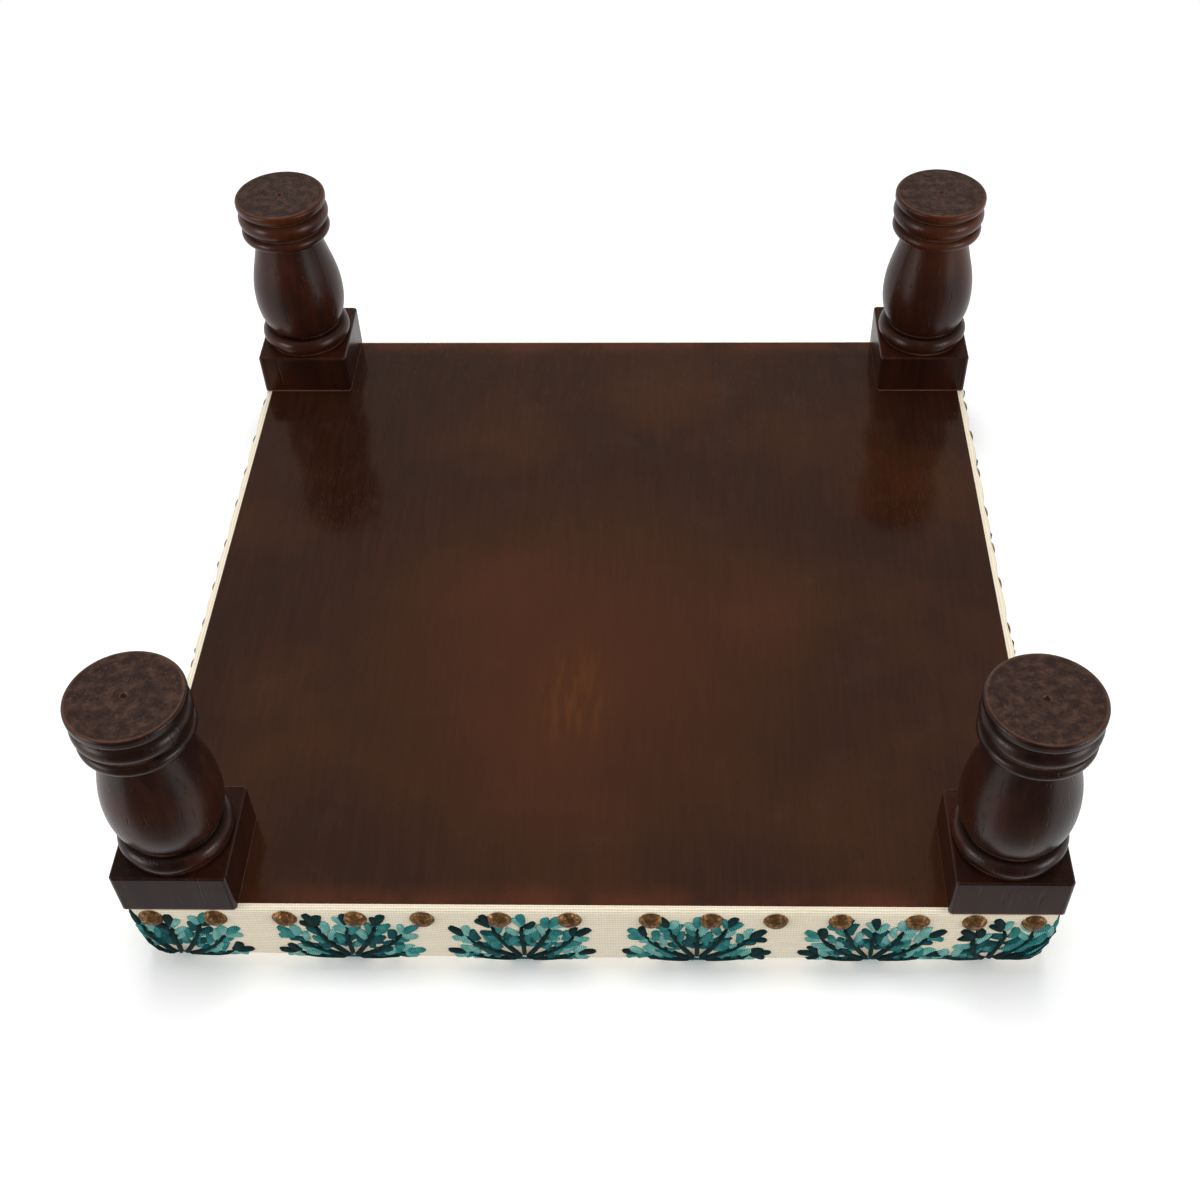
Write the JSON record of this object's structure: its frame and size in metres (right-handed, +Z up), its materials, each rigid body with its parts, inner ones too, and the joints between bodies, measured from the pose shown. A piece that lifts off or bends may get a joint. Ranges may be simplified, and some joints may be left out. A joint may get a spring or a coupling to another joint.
{
  "type": "footstool",
  "caption": "Low square footstool with turned dark wooden legs under a board, a thin padded seat and a cream cloth cover with teal embroidered sprigs and brass upholstery nails.",
  "frame": {"origin": "on the floor, midway between the four feet, which is the bottom centre of the bounding box", "axes": "+Z up from the feet to the seat, -Y towards the front, +X to the right as seen from the front"},
  "size_m": [0.4104, 0.4104, 0.162],
  "materials": {
    "stained_board": "satin",
    "stained_leg": "satin",
    "foam": "matte",
    "wadding": "matte",
    "embroidered_cloth": "matte",
    "dowel": "matte",
    "screw_steel": "satin",
    "antique_brass": "satin"
  },
  "bodies": {
    "root": {"seat_board": "stained_board", "foam_pad": "foam", "wadding_layer": "wadding", "seat_cover": "embroidered_cloth", "leg_front_left": "stained_leg", "leg_front_right": "stained_leg", "leg_back_left": "stained_leg", "leg_back_right": "stained_leg", "leg_dowel_front_left": "dowel", "leg_dowel_front_right": "dowel", "leg_dowel_back_left": "dowel", "leg_dowel_back_right": "dowel", "leg_screws_front_left": "screw_steel", "leg_screws_front_right": "screw_steel", "leg_screws_back_left": "screw_steel", "leg_screws_back_right": "screw_steel", "upholstery_nails_front": "antique_brass", "upholstery_nails_right": "antique_brass", "upholstery_nails_back": "antique_brass", "upholstery_nails_left": "antique_brass"}
  },
  "joints": []
}
